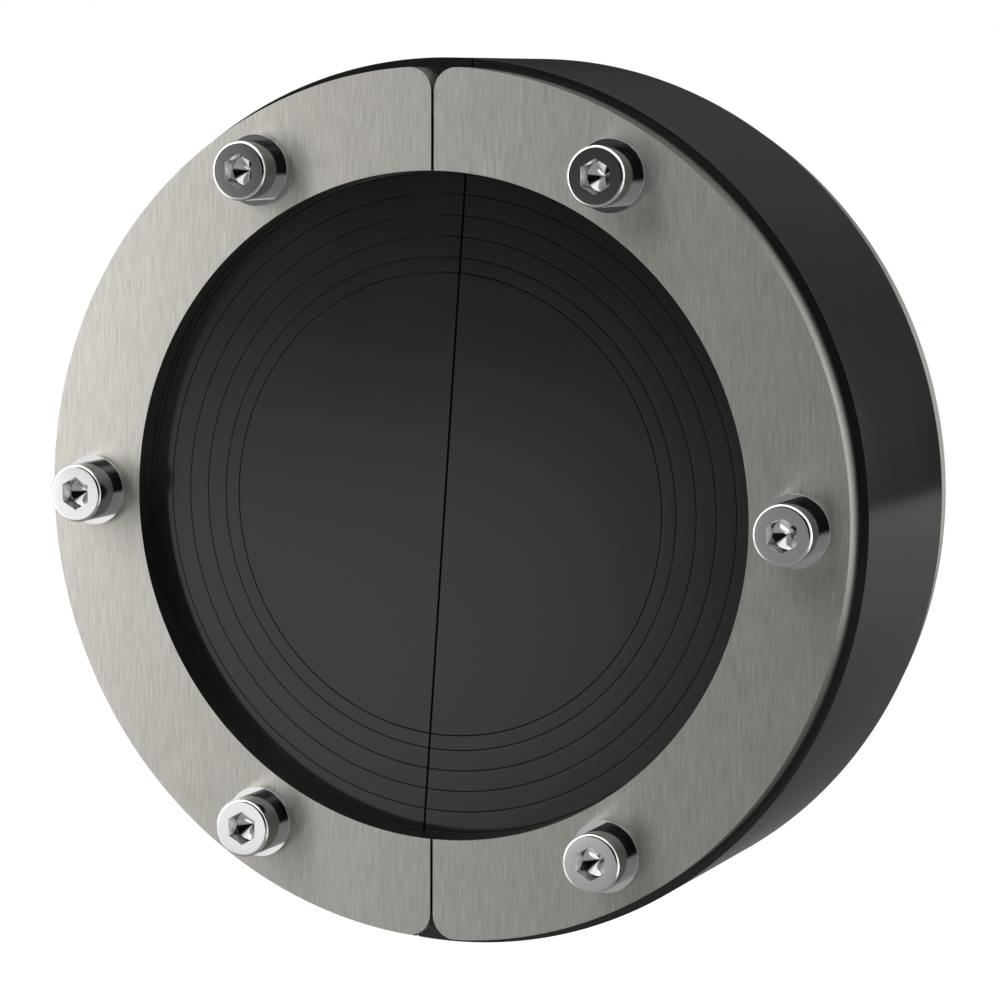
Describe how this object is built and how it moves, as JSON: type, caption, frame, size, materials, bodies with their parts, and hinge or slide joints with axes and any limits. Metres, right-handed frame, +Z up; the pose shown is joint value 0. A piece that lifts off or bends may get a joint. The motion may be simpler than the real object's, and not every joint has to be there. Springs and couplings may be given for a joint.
{
  "type": "annular gap seal",
  "caption": "Split ring-shaped press seal: steel pressure plates and cap screws squeeze a rubber disc of peelable rings, to close the gap in a round wall opening.",
  "frame": {"origin": "on the seal's axis, at the middle of the rubber's width", "axes": "+Y along the axis, from the screw heads to the rear plate; +Z up; +X to the right seen from the screw heads"},
  "size_m": [0.149, 0.061, 0.149],
  "materials": {
    "plate_steel": "stainless plate, brushed along the joint",
    "screw_steel": "polished stainless",
    "rubber": "smooth cut rubber, slightly glossy"
  },
  "bodies": {
    "root": {"cap_screw_left_1": "screw_steel", "cap_screw_left_2": "screw_steel", "cap_screw_left_3": "screw_steel", "cap_screw_right_1": "screw_steel", "cap_screw_right_2": "screw_steel", "cap_screw_right_3": "screw_steel", "core_left": "rubber", "core_right": "rubber", "front_plate_left": "plate_steel", "front_plate_right": "plate_steel", "rear_plate_left": "plate_steel", "rear_plate_right": "plate_steel", "seal_body_left": "rubber", "seal_body_right": "rubber", "segment_ring_1_left": "rubber", "segment_ring_1_right": "rubber", "segment_ring_2_left": "rubber", "segment_ring_2_right": "rubber", "segment_ring_3_left": "rubber", "segment_ring_3_right": "rubber", "segment_ring_4_left": "rubber", "segment_ring_4_right": "rubber", "segment_ring_5_left": "rubber", "segment_ring_5_right": "rubber", "washer_left_1": "screw_steel", "washer_left_2": "screw_steel", "washer_left_3": "screw_steel", "washer_right_1": "screw_steel", "washer_right_2": "screw_steel", "washer_right_3": "screw_steel"}
  },
  "joints": []
}
